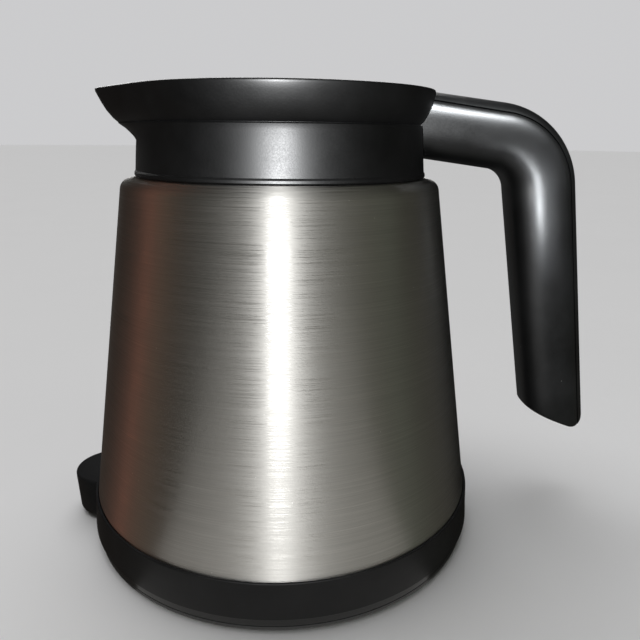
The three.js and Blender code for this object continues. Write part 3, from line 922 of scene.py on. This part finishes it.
def buildShutter():
    low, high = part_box("dial_shutter")
    foot, outer = low.z / mm, high.x / mm
    bore = lidSet["tubeR"] + 0.3
    plateTop, hubTop = foot + shutterSet["plate"], foot + shutterSet["hubHeight"]
    plate = turnPiece("shutterPlate", [
        (bore, foot, 0), (outer, foot, 0.3), (outer, plateTop, 0.3),
        (shutterSet["hubFootR"], plateTop, 1.2), (shutterSet["hubTopR"], hubTop, 0.3), (bore, hubTop, 0),
    ], 128, 3)
    azimuth = math.pi - lidSet["pourTurn"]
    carveWindow(plate, *shutterSet["portR"], foot - 1, foot + 2, azimuth, lidSet["portHalf"])
    finishPiece(plate, "dial", "dial_shutter", lidBlack)
    low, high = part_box("dial_retainer")
    foot, top, outer = low.z / mm, high.z / mm, high.x / mm
    ring = turnPiece("retainerRing", [
        (bore, foot, 0.2), (outer, foot, 0.5), (outer, top, 0.2), (bore, top, 0.2),
    ], 72, 3)
    finishPiece(ring, "dial", "dial_retainer", plainSteel)


buildShell()
buildFlask()
buildBase()
buildFoot()
buildCollar()
buildHandle()
buildStopper()
buildSealRing()
buildValve()
buildDial()
buildShutter()

keptNodes = {
    "shell_bottom": flaskSteel,
    "seal_cap": plainSteel,
    "getter_cup": plainSteel,
    "neck_gasket": ringSilicone,
    "collar_lock_ring": lidBlack,
    "handle_bracket": plainSteel,
    "handle_screw_1": plainSteel,
    "handle_screw_2": plainSteel,
}
for name, material in keptNodes.items():
    node = cadNodes[name]
    if not node.material_slots:
        node.data.materials.append(material)
    for slot in node.material_slots:
        slot.material = material
print("kept", len(keptNodes), "frame nodes with their own finishes")


stageSet = {
    "floorR": 7.0,
    "floorColour": (0.74, 0.74, 0.75),
    "skyColour": (0.6, 0.6, 0.61),  # seen behind the floor
    "floorLight": 2.5,
    "sunWidth": 70,  # degrees
    "sunTilt": (-18, -10),
    "tableR": 0.11,  # a pale patch in front of the foot that shows only in reflections
    "tableAhead": 0.15,
    "tableGlow": 0.8,
}


def addDisc(name, radius, place, material):
    clearSelection()
    bpy.ops.mesh.primitive_circle_add(vertices=96, radius=radius, fill_type="NGON", location=place)
    disc = nameNewPiece(name)
    disc.data.materials.append(material)
    return disc


def buildFloor():
    look = Finish("paleFloor")
    mottle = look.noise(look.stretch(1, 1, 1), 9, 4, 0.6)
    pale = stageSet["floorColour"]
    look.link(look.blend(mottle, pale, tuple(c * 0.97 for c in pale)), look.shader.inputs["Base Color"])
    look.fix(Roughness=0.75)
    floor = addDisc("studioFloor", stageSet["floorR"], (0, 0, cadLow.z), look.material)
    floor.visible_glossy = False  # keeps the pale floor out of the steel, as dark flags would
    floor.visible_shadow = False
    glow = Finish("tableGlow")
    glow.fix(Base_Color=(0.1, 0.1, 0.1, 1), Roughness=0.8)
    glow.fix(Emission_Color=(1, 0.98, 0.94, 1), Emission_Strength=stageSet["tableGlow"])
    place = (0, -stageSet["tableAhead"], cadLow.z - 0.0002)
    table = addDisc("tableGlow", stageSet["tableR"], place, glow.material)
    table.visible_camera = False
    table.visible_diffuse = False
    table.visible_shadow = False
    print("made the floor")


def aroundAxis(azimuth, distance, height):  # azimuth 0 is in front, towards -Y, and 90 is the handle's side
    angle = math.radians(azimuth)
    return (math.sin(angle) * distance, -math.cos(angle) * distance, height)


cameraSet = {
    "place": (0, -0.22206, 0.14282),
    "yaw": 0.0628166,  # radians, towards the handle
    "pitch": 0.2921303,  # downwards
    "roll": 0.0110049,
    "lens": 34.875,
}
bodyMiddle = (0, 0, 0.08)
gripMiddle = (0.093, 0, 0.118)
coolWhite = (0.97, 0.985, 1.0)
besideLens = Vector(cameraSet["place"]) + Vector((-0.007, -0.01, 0.012))
lampSet = [  # each lamp lights only the pieces in its list: place, target, size, watts, colour
    ("steelLamp", besideLens, bodyMiddle, (0.02, 0.02), 0.35, coolWhite, steelPieces),
    ("blackLamp", besideLens, bodyMiddle, (0.02, 0.02), 3.5, coolWhite, blackPieces),
    ("baseLamp", besideLens, bodyMiddle, (0.02, 0.02), 0.9, coolWhite, basePieces),
    ("armSoftbox", aroundAxis(20, 0.68, 0.77), gripMiddle, (0.4, 0.2), 9, (0.93, 0.97, 1.0), handlePieces),
    ("gripLamp", (0.093, -0.095, 0.112), gripMiddle, (0.02, 0.02), 0.015, (0.93, 0.97, 1.0), handlePieces),
    ("warmStrip", aroundAxis(-98, 0.9, 0.3), bodyMiddle, (0.08, 1.4), 0.3, (1, 0.32, 0.2), steelPieces),
    ("rearSoftbox", aroundAxis(182, 0.9, 0.3), bodyMiddle, (0.25, 0.7), 1.6, (1, 1, 1), steelPieces),
    ("lidSoftbox", (-0.15, 0.6, 0.55), (0, 0, 0.12), (0.8, 0.5), 9, (1, 1, 1), blackPieces),
]
lampSpread = {"armSoftbox": 50, "gripLamp": 36}  # degrees, where a lamp is narrower than usual


def addLamp(name, place, target, size, power, colour, pieces):
    data = bpy.data.lights.new(name, "AREA")
    data.shape = "RECTANGLE"
    data.size, data.size_y = size
    data.energy = power
    data.color = colour
    if name in lampSpread:
        data.spread = math.radians(lampSpread[name])
    lamp = bpy.data.objects.new(name, data)
    lamp.location = place
    lamp.rotation_euler = (Vector(target) - Vector(place)).to_track_quat("-Z", "Y").to_euler()
    lamp.visible_camera = False
    lamp.visible_diffuse = name == "lidSoftbox"  # the others give highlights only
    bpy.context.scene.collection.objects.link(lamp)
    group = bpy.data.collections.new(name + "Pieces")
    for piece in pieces:
        group.objects.link(piece)
    lamp.light_linking.receiver_collection = group


def lightStudio():
    for settings in lampSet:
        addLamp(*settings)
    sun = bpy.data.objects.new("floorSun", bpy.data.lights.new("floorSun", "SUN"))
    sun.data.energy = stageSet["floorLight"]
    sun.data.angle = math.radians(stageSet["sunWidth"])
    sun.rotation_euler = (*(math.radians(tilt) for tilt in stageSet["sunTilt"]), 0)
    sun.visible_glossy = False
    bpy.context.scene.collection.objects.link(sun)


roomSet = {  # what stands round the carafe and shows in its steel
    "bands": [  # azimuth in degrees, -90 at the spout's side and 90 at the handle's side, then colour
        (-180, (0.06, 0.06, 0.06)),
        (-155, (0.10, 0.10, 0.095)),
        (-140, (0.03, 0.022, 0.018)),
        (-122, (0.04, 0.035, 0.03)),
        (-110, (0.05, 0.04, 0.035)),
        (-98, (0.08, 0.055, 0.045)),
        (-89, (0.13, 0.12, 0.085)),
        (-76, (0.03, 0.03, 0.026)),
        (-50, (0.09, 0.09, 0.085)),
        (0, (0.16, 0.16, 0.15)),
        (50, (0.14, 0.14, 0.12)),
        (66, (0.10, 0.095, 0.075)),
        (76, (0.14, 0.16, 0.13)),
        (92, (0.06, 0.057, 0.045)),
        (110, (0.06, 0.055, 0.045)),
        (122, (0.0, 0.0, 0.0)),
        (158, (0.0, 0.0, 0.0)),
        (180, (0.06, 0.06, 0.06)),
    ],
    "belowGain": 1.7,  # the lit table in front is brighter than the room
    "belowRange": (-0.62, 0.02),  # how far down it is full, and where it starts
}


def buildWorld():
    world = bpy.data.worlds.new("studioAir")
    bpy.context.scene.world = world
    world.use_nodes = True
    tree = world.node_tree

    def add(kind, **settings):
        node = tree.nodes.new("ShaderNode" + kind)
        for key, value in settings.items():
            setattr(node, key, value)
        return node

    link = tree.links.new
    direction = add("TexCoord")
    split = add("SeparateXYZ")
    link(direction.outputs["Generated"], split.inputs["Vector"])
    ahead = add("Math", operation="MULTIPLY")
    ahead.inputs[1].default_value = -1
    link(split.outputs["Y"], ahead.inputs[0])
    azimuth = add("Math", operation="ARCTAN2")
    link(split.outputs["X"], azimuth.inputs[0])
    link(ahead.outputs["Value"], azimuth.inputs[1])
    along = add("MapRange")
    along.inputs["From Min"].default_value = -math.pi
    along.inputs["From Max"].default_value = math.pi
    link(azimuth.outputs["Value"], along.inputs["Value"])
    ramp = add("ValToRGB")
    stops = ramp.color_ramp.elements
    bands = roomSet["bands"]
    while len(stops) < len(bands):
        stops.new(0.5)
    for stop, (angle, colour) in zip(stops, bands):
        stop.position = (angle + 180) / 360
        stop.color = (*colour, 1)
    link(along.outputs["Result"], ramp.inputs["Fac"])
    gain = add("MapRange")
    fullAt, startAt = roomSet["belowRange"]
    reach = {"From Min": fullAt, "From Max": startAt, "To Min": roomSet["belowGain"], "To Max": 1}
    for key, number in reach.items():
        gain.inputs[key].default_value = number
    link(split.outputs["Z"], gain.inputs["Value"])
    room = add("Mix", data_type="RGBA", blend_type="MULTIPLY")
    room.inputs["Factor"].default_value = 1
    link(ramp.outputs["Color"], room.inputs["A"])
    link(gain.outputs["Result"], room.inputs["B"])
    path = add("LightPath")
    seen = add("Mix", data_type="RGBA")
    link(path.outputs["Is Camera Ray"], seen.inputs["Factor"])
    link(room.outputs["Result"], seen.inputs["A"])
    seen.inputs["B"].default_value = (*stageSet["skyColour"], 1)
    link(seen.outputs["Result"], tree.nodes["Background"].inputs["Color"])


def placeCamera():
    yaw, pitch, roll = cameraSet["yaw"], cameraSet["pitch"], cameraSet["roll"]
    forward = Vector((math.sin(yaw) * math.cos(pitch), math.cos(yaw) * math.cos(pitch), -math.sin(pitch)))
    right = Vector((math.cos(yaw), -math.sin(yaw), 0))
    up = right.cross(forward)
    rolledRight = right * math.cos(roll) + up * math.sin(roll)
    rolledUp = up * math.cos(roll) - right * math.sin(roll)
    data = bpy.data.cameras.new("viewCamera")
    data.lens = cameraSet["lens"]
    data.sensor_width = 36
    data.clip_start = 0.01
    data.clip_end = 60
    camera = bpy.data.objects.new("viewCamera", data)
    turn = Matrix((rolledRight, rolledUp, -forward)).transposed().to_4x4()
    camera.matrix_world = Matrix.Translation(cameraSet["place"]) @ turn
    bpy.context.scene.collection.objects.link(camera)
    bpy.context.scene.camera = camera


buildFloor()
lightStudio()
buildWorld()
placeCamera()
bpy.context.scene.view_settings.view_transform = "Standard"
